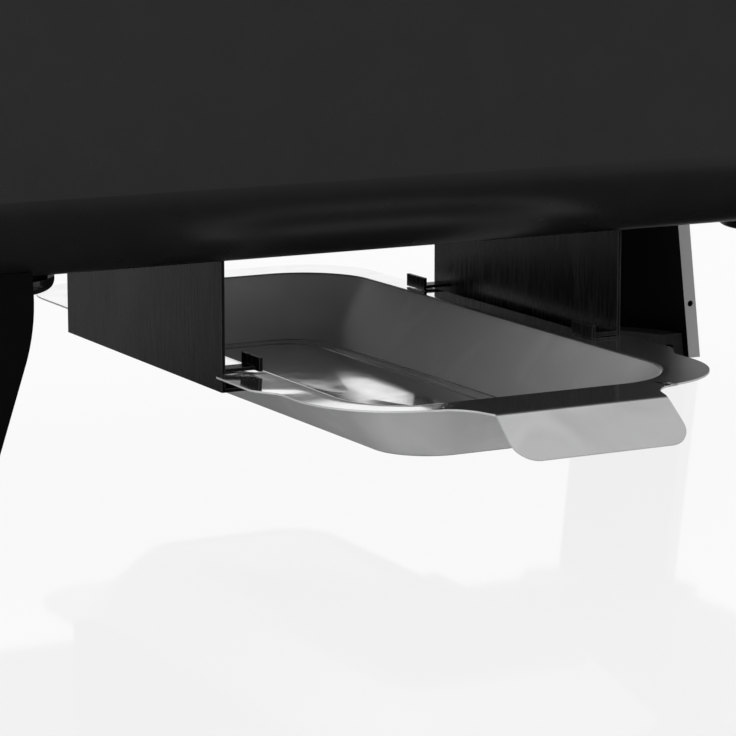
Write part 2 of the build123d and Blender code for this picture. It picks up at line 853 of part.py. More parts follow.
def control_housing():
    low = (housing_back, -housing_width / 2, housing_bottom)
    high = (housing_front, housing_width / 2, housing_top)
    solid = block(low, high)
    outer_edges = solid.edges().filter_by(Axis.Z).sort_by(Axis.X)[-2:]
    bottom_edges = solid.edges().filter_by(Axis.Y).group_by(Axis.Z)[0].sort_by(Axis.X)[-1:]
    solid = fillet(outer_edges + bottom_edges, housing_edge_round)
    solid -= block([a + housing_wall for a in low],
                   (housing_front - housing_wall, housing_width / 2 - housing_wall, housing_top + overrun))
    for x, y in control_screw_places():
        solid += rod((x, y, housing_bottom + housing_wall), up, post_radius, housing_height - housing_wall)
        solid -= rod((x, y, housing_top + overrun), down, control_screw_radius + hole_play,
                     control_screw_length + overrun)
    window = block((housing_middle, inlet_low_y() - hole_play, inlet_low_z() - hole_play),
                   (housing_front + overrun, inlet_low_y() + inlet_width + hole_play,
                    inlet_low_z() + inlet_height + hole_play))
    return solid - window - tail_holes(housing_depth / 2)


def control_screw_places():
    return [(x, turn * (housing_width / 2 - post_inset))
            for x in (housing_back + post_inset, housing_front - post_inset) for turn in sides]


def control_cover():
    half = housing_width / 2
    cut = cover_height + 2 * overrun
    cut_low = housing_top - overrun
    cover = block((housing_back, -half, housing_top), (housing_front, half, cover_top))
    outer_edges = cover.edges().filter_by(Axis.Z).sort_by(Axis.X)[-2:]
    cover = fillet(outer_edges, housing_edge_round)
    cover = fillet(cover.faces().sort_by(Axis.Z)[-1].edges(), cover_edge_round)
    cover -= rod((housing_middle, 0, cut_low), up, shaft_radius + shaft_hole_play, cut)
    cover -= rod((housing_middle, -lamp_offset, cut_low), up, lamp_radius + hole_play, cut)
    head_hole = control_screw_head_radius + hole_play
    for x, y in control_screw_places():
        cover -= rod((x, y, cut_low), up, control_screw_radius + hole_play, cut)
        cover -= rod((x, y, cover_top + overrun), down, head_hole, screw_sink + overrun)
    return cover


def control_screws():
    seat = cover_top - screw_sink
    pieces = []
    for x, y in control_screw_places():
        head = rod((x, y, seat), up, control_screw_head_radius, control_screw_head_height)
        pieces.append(head + rod((x, y, seat), down, control_screw_radius, control_screw_length))
    return group(pieces)


def thermostat():
    low = (housing_middle - thermostat_depth / 2, -thermostat_width / 2, housing_top - thermostat_height)
    high = (housing_middle + thermostat_depth / 2, thermostat_width / 2, housing_top)
    bore = rod((housing_middle, 0, housing_top + overrun), down, shaft_radius + running_play,
               shaft_socket + overrun)
    return block(low, high) - bore


def knob_shaft():
    start = housing_top - shaft_socket + seat_gap
    return rod((housing_middle, 0, start), up, shaft_radius, shaft_length)


def knob():
    low = cover_top + knob_gap
    shaft_end = housing_top - shaft_socket + seat_gap + shaft_length
    skirt = rod((housing_middle, 0, low), up, knob_skirt_radius, knob_skirt_height)
    skirt = fillet(skirt.faces().sort_by(Axis.Z)[-1].edges(), knob_edge_round)
    bar_reach = knob_skirt_radius - knob_edge_round
    bar = block((housing_middle - knob_bar_width / 2, -bar_reach, low),
                (housing_middle + knob_bar_width / 2, bar_reach, low + knob_skirt_height + knob_bar_height))
    bar = fillet(bar.faces().sort_by(Axis.Z)[-1].edges() + bar.edges().filter_by(Axis.Z), knob_edge_round)
    bore = rod((housing_middle, 0, low - overrun), up, shaft_radius + running_play,
               shaft_end + running_play - low + overrun)
    return skirt + bar - bore


def lamp_lens():
    lens = rod((housing_middle, -lamp_offset, housing_top), up, lamp_radius, cover_height + lamp_height)
    return fillet(lens.faces().sort_by(Axis.Z)[-1].edges(), lamp_height / 2)


def inlet_low_y():
    return -inlet_offset - inlet_width / 2


def inlet_low_z():
    return housing_bottom + inlet_rise - inlet_height / 2


def power_inlet():
    """Cup for the appliance connector, with a lip against the housing's outer face."""
    low_y = inlet_low_y()
    low_z = inlet_low_z()
    high_y = low_y + inlet_width
    high_z = low_z + inlet_height
    back = housing_front - inlet_depth
    cup = block((back, low_y, low_z), (housing_front, high_y, high_z))
    cup += block((housing_front, low_y - inlet_lip, low_z - inlet_lip),
                 (housing_front + inlet_lip_height, high_y + inlet_lip, high_z + inlet_lip))
    room = block((back + inlet_wall, low_y + inlet_wall, low_z + inlet_wall),
                 (housing_front + overrun, high_y - inlet_wall, high_z - inlet_wall))
    return cup - room


def inlet_pins():
    root = housing_front - inlet_depth + inlet_wall
    middle_z = inlet_low_z() + inlet_height / 2
    pieces = []
    for step in (-1, 0, 1):
        y = -inlet_offset + step * pin_pitch
        z = middle_z + (pin_earth_rise if step == 0 else 0)
        pieces.append(block((root, y - pin_width / 2, z - pin_height / 2),
                            (root + pin_length, y + pin_width / 2, z + pin_height / 2)))
    return group(pieces)


def terminal_block():
    floor = housing_bottom + housing_wall
    near_x = housing_back + housing_wall
    near_y = terminal_offset - terminal_width / 2
    return block((near_x, near_y, floor),
                 (near_x + terminal_depth, near_y + terminal_width, floor + terminal_height))


# Handles

def right_handle():
    grip_x = half_width + handle_reach
    post = handle_post_offset
    route = [(half_width, -post), (grip_x, -post), (grip_x, post), (half_width, post)]
    path = FilletPolyline(*route, radius=handle_bend)
    start = Plane(origin=(half_width, -post, 0), z_dir=(1, 0, 0))
    handle = Pos(0, 0, handle_height) * sweep(start * Circle(handle_radius), path=path)
    for turn in sides:
        foot = (half_width, turn * post, handle_height)
        handle += rod(foot, (1, 0, 0), handle_flange_radius, handle_flange_height)
        handle -= rod((half_width - overrun, turn * post, handle_height), (1, 0, 0),
                      handle_bolt_radius + hole_play, handle_bolt_length + overrun)
    return handle


def right_grip():
    grip_x = half_width + handle_reach
    sleeve = rod((grip_x, -grip_length / 2, handle_height), (0, 1, 0), grip_radius, grip_length)
    rims = sleeve.faces().sort_by(Axis.Y)
    sleeve = fillet(rims[0].edges() + rims[-1].edges(), grip_end_round)
    return sleeve - rod((grip_x, -grip_length, handle_height), (0, 1, 0), handle_radius + running_play,
                        2 * grip_length)


def handle_bolts():
    inner = half_width - casing_sheet
    pieces = []
    for side, y in handle_bolt_places():
        seat = (side * inner, y, handle_height)
        pieces.append(hexagon(seat, (-side, 0, 0), handle_bolt_head_radius, handle_bolt_head_height)
                      + rod(seat, (side, 0, 0), handle_bolt_radius, handle_bolt_length))
    return group(pieces)


# Dampers

def right_damper():
    low = (damper_centre - damper_half_width, half_depth + seat_gap, vent_height - damper_half_height)
    high = (damper_centre + damper_half_width, damper_back, vent_height + damper_half_height)
    plate = block(low, high)
    for offset in vent_offsets():
        x = damper_centre + offset
        plate -= block((x - vent_slot_width / 2, half_depth - overrun, vent_height - vent_slot_height / 2),
                       (x + vent_slot_width / 2, damper_back + overrun, vent_height + vent_slot_height / 2))
    return plate


def right_damper_knob():
    stem = rod((damper_centre, damper_back, vent_height), (0, 1, 0), damper_stem_radius, damper_stem_length)
    head = rod((damper_centre, damper_back + damper_stem_length, vent_height), (0, 1, 0), damper_head_radius,
               damper_head_length)
    rims = head.faces().sort_by(Axis.Y)
    return stem + fillet(rims[0].edges() + rims[-1].edges(), damper_head_round)


def damper_rails():
    low_x = damper_centre - damper_half_width - rail_end
    high_x = damper_centre + damper_half_width + damper_travel + rail_end
    spacer_back = damper_back + seat_gap
    pieces = []
    for turn in sides:
        edge = damper_half_height + seat_gap
        lap = damper_half_height - rail_lap
        outer = vent_height + turn * (edge + rail_base)
        spacer = sorted((vent_height + turn * edge, outer))
        lip = sorted((vent_height + turn * lap, outer))
        rail = block((low_x, half_depth, spacer[0]), (high_x, spacer_back, spacer[1]))
        rail += block((low_x, spacer_back, lip[0]), (high_x, spacer_back + rail_lip, lip[1]))
        for x, z in rivet_places():
            rail -= rod((x, half_depth - overrun, z), (0, 1, 0), rivet_radius + hole_play, 4 * overrun)
        pieces += [rail, other_side(rail)]
    return group(pieces)


def damper_rivets():
    seat = damper_back + seat_gap + rail_lip
    inner = half_depth - casing_sheet - rivet_head_height
    pieces = []
    for x, z in rivet_places():
        head = rod((x, seat, z), (0, 1, 0), rivet_head_radius, rivet_head_height)
        head = fillet(head.faces().sort_by(Axis.Y)[-1].edges(), rivet_dome)
        rivet = head + rod((x, inner, z), (0, 1, 0), rivet_radius, seat - inner)
        pieces += [rivet, other_side(rivet)]
    return group(pieces)


def all_pieces():
    pieces = {
        "casing": casing(),
        "fire_bowl": fire_bowl(),
        "drain_spout": drain_spout(),
        "runner_screws": runner_screws(),
        "runner_nuts": runner_nuts(),
        "drip_tray": drip_tray(),
        "foot_screws": foot_screws(),
        "leg_bosses": leg_bosses(),
        "leg_bolts": leg_bolts(),
        "leg_nuts": leg_nuts(),
        "grill_grate": grill_grate(),
        "charcoal_grate": charcoal_grate(),
        "heating_element": heating_element(),
        "element_ties": element_ties(),
        "element_plate": element_plate(),
        "control_housing": control_housing(),
        "control_cover": control_cover(),
        "control_screws": control_screws(),
        "thermostat": thermostat(),
        "knob_shaft": knob_shaft(),
        "knob": knob(),
        "lamp_lens": lamp_lens(),
        "power_inlet": power_inlet(),
        "inlet_pins": inlet_pins(),
        "terminal_block": terminal_block(),
        "handle_bolts": handle_bolts(),
        "damper_rails": damper_rails(),
        "damper_rivets": damper_rivets(),
    }
    pairs = {
        "runner": right_runner(),
        "handle": right_handle(),
        "grip": right_grip(),
        "damper": right_damper(),
        "damper_knob": right_damper_knob(),
    }
    for name, piece in pairs.items():
        pieces["right_" + name] = piece
        pieces["left_" + name] = other_side(piece)
    for end, front in (("front", True), ("rear", False)):
        for name, piece in (("leg", right_leg(front)), ("foot", right_foot(front))):
            pieces[name + "_" + end + "_right"] = piece
            pieces[name + "_" + end + "_left"] = other_side(piece)
    return pieces


os.makedirs("parts", exist_ok=True)
for node, piece in all_pieces().items():
    export_step(Pos(0, -middle_y, 0) * piece, os.path.join("parts", node + ".step"))
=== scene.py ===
import json
from math import atan2, copysign, cos, pi, radians, sin, sqrt, tan

import bmesh
import bpy
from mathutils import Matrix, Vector


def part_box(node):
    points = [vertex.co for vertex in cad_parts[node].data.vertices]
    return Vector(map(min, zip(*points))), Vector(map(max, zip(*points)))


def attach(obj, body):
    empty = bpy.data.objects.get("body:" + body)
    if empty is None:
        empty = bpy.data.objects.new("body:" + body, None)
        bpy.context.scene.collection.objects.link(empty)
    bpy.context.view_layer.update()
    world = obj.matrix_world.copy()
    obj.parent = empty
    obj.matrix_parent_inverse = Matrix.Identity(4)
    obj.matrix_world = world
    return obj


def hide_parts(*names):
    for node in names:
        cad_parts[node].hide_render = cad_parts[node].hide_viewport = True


# Looks of a table-top hybrid grill: black enamelled tub, lift-out grates and element, bright grease tray.
# Metres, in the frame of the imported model: +X is the right end, +Y the back and +Z up.

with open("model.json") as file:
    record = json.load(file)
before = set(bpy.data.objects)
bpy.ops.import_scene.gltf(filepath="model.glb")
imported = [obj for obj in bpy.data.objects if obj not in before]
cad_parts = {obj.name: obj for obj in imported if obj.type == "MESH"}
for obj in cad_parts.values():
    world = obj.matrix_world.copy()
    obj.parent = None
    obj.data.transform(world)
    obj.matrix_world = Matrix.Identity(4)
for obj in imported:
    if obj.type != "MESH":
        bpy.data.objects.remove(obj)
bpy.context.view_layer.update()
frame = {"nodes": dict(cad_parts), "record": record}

MM = 0.001
WHITE = (1.0, 1.0, 1.0, 1.0)
SAME_PLACE = 0.0001 * MM

# Camera, worked out from the perspective of the runners, the tray and the underside
CAMERA_SIDE = -0.4819
CAMERA_BEFORE_RUNNERS = 0.8598
CAMERA_HEIGHT = 0.2400
RUNNER_LENGTH = 125.5 * MM
CAMERA_PITCH = 0.1865
CAMERA_YAW = 0.4911
CAMERA_LENS = 150.15
SENSOR_WIDTH = 36.0

# Floor: nearly white where it is seen; where the grill mirrors it, a dark disc in front is a painted shadow
FLOOR_HALF = 6.0
FLOOR_COLOR = (0.9, 0.9, 0.9, 1.0)
FLOOR_ROUGHNESS = 0.6
FLOOR_WHITE_SHARE = 0.95
FLOOR_MIRROR_SHARE = 0.1
FLOOR_MIRROR_ROUGHNESS = 0.05
FLOOR_GLOW = 0.25
DISC_CENTRE = (0.0, -0.2, 0.0)
DISC_RADIUS = 0.3
DISC_EDGE_END = 0.37
DISC_SHADE = 0.1
BEYOND_DISC_SHADE = 0.74

# Room: its light, and the brightness that metal mirrors of it in front and at the back
WORLD_STRENGTH = 0.62
BACKGROUND_STRENGTH = 1.0
ROOM_STRENGTH = 0.55
BACKDROP_START = 0.1
BACKDROP_END = 0.6

# Lamps, with their power in watts
TOP_LIGHT = dict(place=(-0.4, 0.6, 1.8), target=(0.0, 0.0, 0.1), size=(1.6, 1.6), power=7.0)
SIDE_LIGHT = dict(place=(-2.1, -1.3, 0.5), target=(0.0, 0.0, 0.1), size=(2.4, 0.8), power=20.0)
FRONT_LIGHT = dict(place=(0.2, -1.8, 0.2), target=(0.0, 0.0, 0.08), size=(1.0, 0.3), power=5.0)

# Patterns: the usual range of their values, and how alike two normals are along an edge and off it
PATTERN_LOW = 0.3
PATTERN_HIGH = 0.7
EDGE_ALIKE = 0.8
PLAIN_ALIKE = 0.98

# Flange of the grease tray, drawn finer than the tray's solid
TRAY_SHEET = 0.6 * MM
SHEET_EDGE_ROUND = 0.22 * MM
SHEET_EDGE_ANGLE = radians(60.0)
FLANGE_LENGTH = 272.8 * MM
FLANGE_SIDE_HALF = 68.0 * MM
FLANGE_SHOULDER_HALF = 72.0 * MM
FLANGE_FALL = 0.9 * MM
FLANGE_FLAT = 2.2 * MM
EAR_LENGTH = 27.0 * MM
EAR_STOP_FROM_REAR = 192.8 * MM
NECK_LENGTH = 9.0 * MM
FRONT_CORNER = 34.0 * MM
REAR_CORNER = 28.0 * MM
NECK_ROUND = 8.0 * MM
EAR_ROUND = 3.0 * MM

# Tub of the grease tray
TUB_HALF_WIDTH = 57.0 * MM
TUB_LENGTH = 247.5 * MM
TUB_FROM_REAR = 16.7 * MM
TUB_CORNER = 28.0 * MM
TUB_DEPTH = 22.3 * MM
TUB_DRAFT = 19.5 * MM
FRONT_DEPTH_SHARE = 0.94
REAR_DEPTH_SHARE = 1.0
RIM_ROUND = 2.5 * MM
BOTTOM_ROUND = 1.6 * MM
LEDGE_WIDTHS = (4.0 * MM, 2.2 * MM)
LEDGE_RISES = (0.55 * MM, 0.3 * MM)
LEDGE_BREAK = 0.5 * MM
LEDGE_ROUND = 0.25 * MM
TUB_FLOOR_FLAT = 1.2 * MM
TUB_FLOOR_SAG = 1.3 * MM

# Pull tab of the grease tray
PULL_ROOT_HALF = 35.0 * MM
PULL_CREASE_HALF = 30.2 * MM
PULL_TIP_HALF = 30.8 * MM
PULL_LENGTH = 15.0 * MM
PULL_DROP_LENGTH = 18.7 * MM
PULL_DROP_ANGLE = radians(38.0)
PULL_BEND_RADIUS = 3.0 * MM
PULL_ROOT_ROUND = 9.0 * MM
PULL_TIP_ROUND = 8.0 * MM
PULL_REACH = PULL_ROOT_HALF + PULL_ROOT_ROUND

# Fineness of the grease tray's mesh
TRAY_SPACING = 1.4 * MM
PROFILE_SPACING = 2.4 * MM
ROUND_STEPS = 6
FLANGE_STEPS = 4
EVENED_REACH = 6
SAG_RINGS = 9
PULL_COLUMNS = 44
PULL_FLAT_STEPS = 10
PULL_BEND_STEPS = 8
PULL_DROP_STEPS = 14
EDGE_SEGMENTS = 2

# Ends of the legs, painted pale as a highlight
LEG_END_FROM_MIDDLE = 92.8 * MM
LEG_END_DEPTH = 0.15 * MM

# Grips of the handles
GRIP_BORE = 5.05 * MM
GRIP_END_ROUND = 4.0 * MM
GRIP_GROOVES = 7
GRIP_GROOVE_SPACING = 9.0 * MM
GRIP_GROOVE_HALF = 1.5 * MM
GRIP_GROOVE_DEPTH = 0.9 * MM
GRIP_GROOVE_ROUND = 0.6 * MM
GRIP_SPACING = 1.5 * MM
GRIP_SIDES = 64

# Marks on the knob and beside it
MARK_HEIGHT = 0.2 * MM
MARK_SINK = 0.3 * MM
KNOB_SKIRT_HEIGHT = 4.0 * MM
SCALE_RADIUS = 15.1 * MM
SCALE_SHORT = 1.6 * MM
SCALE_LONG = 3.4 * MM
SCALE_WIDTH = 0.8 * MM
SCALE_SWEEP = radians(120.0)
SCALE_MARKS = 7
MARKER_FROM_KNOB = 1.6 * MM
MARKER_LENGTH = 4.0 * MM
MARKER_HALF_WIDTH = 2.0 * MM


# Node helpers

class NodeTree:
    """Nodes of a material or a world, made with plain values or links for their sockets."""

    def __init__(self, tree):
        self.nodes = tree.nodes
        self.links = tree.links

    def feed(self, socket, value):
        """Links another node's output to a socket, or sets the socket to a plain value."""
        if isinstance(value, bpy.types.NodeSocket):
            self.links.new(value, socket)
        else:
            socket.default_value = value

    def fill(self, node, *ordered, **named):
        """Feeds a node's sockets, the first ones in order and others by name."""
        for socket, value in zip(node.inputs, ordered):
            self.feed(socket, value)
        for name, value in named.items():
            self.feed(node.inputs[name.replace("_", " ")], value)
        return node

    def add(self, kind, *ordered, **named):
        """A new shader node of this kind."""
        return self.fill(self.nodes.new("ShaderNode" + kind), *ordered, **named)

    def combine(self, operation, *terms):
        """A Math node over patterns and plain numbers."""
        node = self.add("Math", *terms)
        node.operation = operation
        return node.outputs["Value"]

    def measure(self, operation, first, second):
        """The number that a Vector Math node gives for two vectors."""
        node = self.add("VectorMath", first, second)
        node.operation = operation
        return node.outputs["Value"]

    def spread(self, pattern, low, high, start=PATTERN_LOW, end=PATTERN_HIGH):
        """The pattern, stretched from its range of values to a low and a high value."""
        node = self.add("MapRange", pattern, From_Min=start, From_Max=end, To_Min=low, To_Max=high)
        return node.outputs["Result"]

    def mix(self, share, first, second):
        """Two shaders, mixed by the share of the second."""
        return self.add("MixShader", share, first, second).outputs["Shader"]

    def by_ray(self, seen, mirrored, lighting):
        """One shader where it is seen, one where it is mirrored and one for the light that it gives."""
        path = self.add("LightPath").outputs
        direct = self.combine("MAXIMUM", path["Is Camera Ray"], path["Is Transmission Ray"])
        return self.mix(direct, self.mix(path["Is Glossy Ray"], lighting, mirrored), seen)


class Shader(NodeTree):
    """A material whose patterns are placed by the object's own coordinates, in metres."""

    def __init__(self, name, **sockets):
        self.material = bpy.data.materials.new(name)
        self.material.use_nodes = True
        super().__init__(self.material.node_tree)
        self.surface = self.fill(self.nodes["Principled BSDF"], **sockets)
        self.place = self.add("TexCoord").outputs["Object"]

    def noise(self, size, detail=3.0, stretch=None, distortion=0.0):
        """Cloudy pattern with patches about this many metres across, drawn out where the stretch is low."""
        place = self.place
        if stretch:
            place = self.add("Mapping", Vector=place, Scale=stretch).outputs["Vector"]
        node = self.add("TexNoise", Vector=place, Scale=1.0 / size, Detail=detail, Distortion=distortion)
        return node.outputs["Fac"]

    def specks(self, size):
        """Pattern of small rounded cells."""
        return self.add("TexVoronoi", Vector=self.place, Scale=1.0 / size).outputs["Distance"]

    def levelness(self):
        """One on level faces and zero on upright ones."""
        normal = self.add("NewGeometry").outputs["Normal"]
        return self.combine("ABSOLUTE", self.add("SeparateXYZ", normal).outputs["Z"])

    def edges(self, width):
        """One along sharp edges, this wide, and zero elsewhere."""
        rounded = self.add("Bevel", Radius=width).outputs["Normal"]
        alike = self.measure("DOT_PRODUCT", rounded, self.add("NewGeometry").outputs["Normal"])
        return self.spread(alike, low=1.0, high=0.0, start=EDGE_ALIKE, end=PLAIN_ALIKE)

    def near_plane(self, axis, place, reach):
        """One within this reach of a plane square to the axis, and zero elsewhere."""
        along = self.add("SeparateXYZ", self.place).outputs[axis]
        return self.combine("COMPARE", along, place, reach)

    def paint(self, pattern, dark, light):
        """Colour that runs from dark to light with the pattern."""
        ramp = self.add("ValToRGB", pattern)
        stops = ((PATTERN_LOW, dark), (PATTERN_HIGH, light))
        for element, (position, color) in zip(ramp.color_ramp.elements, stops):
            element.position = position
            element.color = (*color, 1.0)
        self.fill(self.surface, Base_Color=ramp.outputs["Color"])

    def rough(self, pattern, low, high):
        """Roughness that runs from low to high with the pattern."""
        self.fill(self.surface, Roughness=self.spread(pattern, low, high))

    def bump(self, pattern, depth, strength=1.0, below=None):
        """Relief of this depth in metres, on top of another relief."""
        node = self.add("Bump", Strength=strength, Distance=depth, Height=pattern)
        if below:
            self.fill(node, Normal=below)
        self.fill(self.surface, Normal=node.outputs["Normal"])
        return node.outputs["Normal"]


def grey(level):
    """A colour without a tint."""
    return (level, level, level)


# Materials

def body_enamel():
    """Satin black enamel with a slight ripple and a fine grain."""
    shader = Shader("satin_black_enamel", Specular_IOR_Level=0.36)
    mottle = shader.noise(14 * MM, detail=5.0)
    shader.paint(mottle, dark=(0.0058, 0.0058, 0.006), light=(0.0072, 0.0072, 0.0074))
    shader.rough(shader.noise(5 * MM), low=0.27, high=0.31)
    ripple = shader.bump(shader.noise(45 * MM, detail=1.0), depth=0.1 * MM, strength=0.12)
    shader.bump(shader.noise(1.1 * MM, detail=2.0), depth=0.006 * MM, strength=0.5, below=ripple)
    return shader.material


def bowl_enamel():
    """Speckled black enamel."""
    shader = Shader("bowl_enamel", Specular_IOR_Level=0.5)
    shader.paint(shader.specks(2.2 * MM), dark=(0.035, 0.035, 0.037), light=(0.011, 0.011, 0.012))
    shader.rough(shader.noise(9 * MM), low=0.2, high=0.38)
    shader.bump(shader.noise(4 * MM), depth=0.05 * MM, strength=0.5)
    return shader.material


def runner_enamel():
    """Thin gloss enamel over sheet steel, scuffed in upright streaks, with a painted highlight along its
    edges.
    """
    shader = Shader("gloss_black_enamel", Specular_IOR_Level=0.09)
    streaks = shader.noise(1.3 * MM, detail=4.0, stretch=(1.0, 1.0, 0.1), distortion=0.3)
    patches = shader.noise(34 * MM, detail=2.0, stretch=(1.0, 1.0, 0.4))
    scuffed = shader.spread(patches, low=0.3, high=1.3, start=0.42, end=0.62)
    scuffs = shader.spread(shader.combine("MULTIPLY", streaks, scuffed), low=0.3, high=0.4)
    # Lighter colour along the edges is a painted highlight; the scuffs are the enamel's own wear.
    painted_edge_highlight = shader.spread(shader.edges(0.5 * MM), low=0.3, high=0.7, start=0.0, end=1.0)
    shader.paint(shader.combine("MAXIMUM", scuffs, painted_edge_highlight), dark=grey(0.002), light=grey(0.06))
    shader.rough(streaks, low=0.2, high=0.34)
    runs = shader.noise(9 * MM, detail=2.0, stretch=(1.0, 1.0, 0.2))
    flow = shader.bump(runs, depth=0.05 * MM, strength=0.3)
    shader.bump(streaks, depth=0.02 * MM, strength=0.5, below=flow)
    return shader.material


def tray_metal():
    """Pressed tinplate, duller where drawn; level faces painted brighter as a reflection and walls painted
    darker as shade.
    """
    shader = Shader("pressed_tinplate")
    flat = shader.spread(shader.levelness(), low=0.0, high=1.0, start=0.76, end=0.95)
    stain = shader.spread(shader.noise(22 * MM, detail=6.0, distortion=0.8), low=-0.05, high=0.05)
    # Colour brighter on level faces and darker on the walls: painted reflection on the flats, painted shade
    # on the walls.
    painted_level_sheen = shader.spread(flat, low=0.3, high=0.62, start=0.0, end=1.0)
    shader.paint(shader.combine("ADD", painted_level_sheen, stain), dark=(0.52, 0.52, 0.525), light=grey(0.96))
    metallic = shader.spread(flat, low=0.2, high=0.95, start=0.0, end=1.0)
    polish = shader.spread(flat, low=0.38, high=0.08, start=0.0, end=1.0)
    smears = shader.spread(shader.noise(7 * MM, detail=6.0), low=-0.02, high=0.02)
    shader.fill(shader.surface, Metallic=metallic, Roughness=shader.combine("ADD", polish, smears))
    waves = shader.bump(shader.noise(38 * MM, detail=1.0), depth=0.2 * MM, strength=0.3)
    shader.bump(shader.noise(0.9 * MM, detail=3.0), depth=0.008 * MM, strength=0.5, below=waves)
    return shader.material


def leg_plastic():
    """Black phenolic whose end faces, towards the middle of the grill, are painted pale as a highlight."""
    shader = Shader("black_phenolic", Specular_IOR_Level=0.03)
    low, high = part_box("casing")
    middle = (low.y + high.y) / 2
    # The pale end faces are a painted highlight.
    front_end_highlight = shader.near_plane("Y", middle - LEG_END_FROM_MIDDLE, LEG_END_DEPTH)
    rear_end_highlight = shader.near_plane("Y", middle + LEG_END_FROM_MIDDLE, LEG_END_DEPTH)
    shader.paint(shader.combine("MAXIMUM", front_end_highlight, rear_end_highlight), dark=grey(0.0018), light=grey(0.4))
    shader.rough(shader.noise(4 * MM), low=0.32, high=0.45)
    shader.bump(shader.noise(0.8 * MM, detail=2.0), depth=0.02 * MM, strength=0.6)
    return shader.material


def rubber():
    shader = Shader("black_rubber", Specular_IOR_Level=0.25)
    shader.paint(shader.noise(3 * MM), dark=grey(0.012), light=grey(0.02))
    shader.rough(shader.noise(2 * MM), low=0.7, high=0.85)
    shader.bump(shader.noise(0.5 * MM), depth=0.03 * MM)
    return shader.material


def moulded(name, dark, light, roughness, grain=0.6 * MM, depth=0.02 * MM):
    """Moulded plastic or thick paint with a fine grain."""
    shader = Shader(name, Specular_IOR_Level=0.45)
    shader.paint(shader.noise(12 * MM, detail=5.0), dark, light)
    shader.rough(shader.noise(3 * MM), *roughness)
    shader.bump(shader.specks(grain), depth, strength=0.5)
    return shader.material


def drawn_metal(name, dark, light, roughness, stretch):
    """Metal with fine lines along the axis whose stretch is low."""
    shader = Shader(name, Metallic=1.0)
    lines = shader.noise(1.2 * MM, detail=4.0, stretch=stretch)
    shader.paint(lines, dark, light)
    shader.rough(shader.noise(4 * MM, stretch=stretch), *roughness)
    shader.bump(lines, depth=0.01 * MM, strength=0.5)
    return shader.material


def cast_iron():
    """Seasoned iron with casting pits."""
    shader = Shader("seasoned_cast_iron", Metallic=0.35, Specular_IOR_Level=0.4)
    shader.paint(shader.noise(9 * MM, detail=6.0), dark=(0.016, 0.015, 0.014), light=(0.034, 0.032, 0.031))
    shader.rough(shader.noise(3 * MM, detail=5.0), low=0.38, high=0.62)
    pits = shader.bump(shader.specks(1.4 * MM), depth=0.1 * MM, strength=0.5)
    shader.bump(shader.noise(0.7 * MM), depth=0.06 * MM, strength=0.6, below=pits)
    return shader.material


def coal_steel():
    """Steel that the coals have stained."""
    shader = Shader("heat_darkened_steel", Metallic=1.0)
    stains = shader.noise(26 * MM, detail=7.0, distortion=1.0)
    shader.paint(stains, dark=(0.09, 0.085, 0.085), light=(0.27, 0.26, 0.25))
    shader.rough(shader.noise(5 * MM), low=0.35, high=0.55)
    shader.bump(shader.noise(1.5 * MM), depth=0.02 * MM, strength=0.5)
    return shader.material


def element_steel():
    """Heater sheath, straw and blue-grey where it has glowed."""
    shader = Shader("heat_tinted_sheath", Metallic=1.0)
    tint = shader.noise(34 * MM, detail=5.0, distortion=0.6)
    shader.paint(tint, dark=(0.085, 0.08, 0.085), light=(0.2, 0.17, 0.135))
    shader.rough(shader.noise(4 * MM), low=0.3, high=0.48)
    shader.bump(shader.noise(1.0 * MM), depth=0.015 * MM, strength=0.6)
    return shader.material


def chrome():
    shader = Shader("bright_chrome", Metallic=1.0)
    shader.paint(shader.noise(30 * MM, detail=4.0), dark=(0.7, 0.71, 0.72), light=grey(0.78))
    shader.rough(shader.noise(3 * MM, detail=5.0), low=0.05, high=0.12)
    shader.bump(shader.noise(8 * MM), depth=0.02 * MM, strength=0.3)
    return shader.material


def brass():
    shader = Shader("plated_brass", Metallic=1.0)
    shader.paint(shader.noise(2 * MM), dark=(0.62, 0.47, 0.22), light=(0.72, 0.57, 0.3))
    shader.rough(shader.noise(1 * MM), low=0.2, high=0.35)
    return shader.material


def red_lamp():
    """Clear-coated red lens."""
    shader = Shader("red_lamp", Coat_Weight=0.6, Coat_Roughness=0.08, Specular_IOR_Level=0.5)
    shader.paint(shader.noise(2 * MM), dark=(0.30, 0.006, 0.005), light=(0.42, 0.012, 0.01))
    shader.rough(shader.noise(1 * MM), low=0.12, high=0.2)
    return shader.material


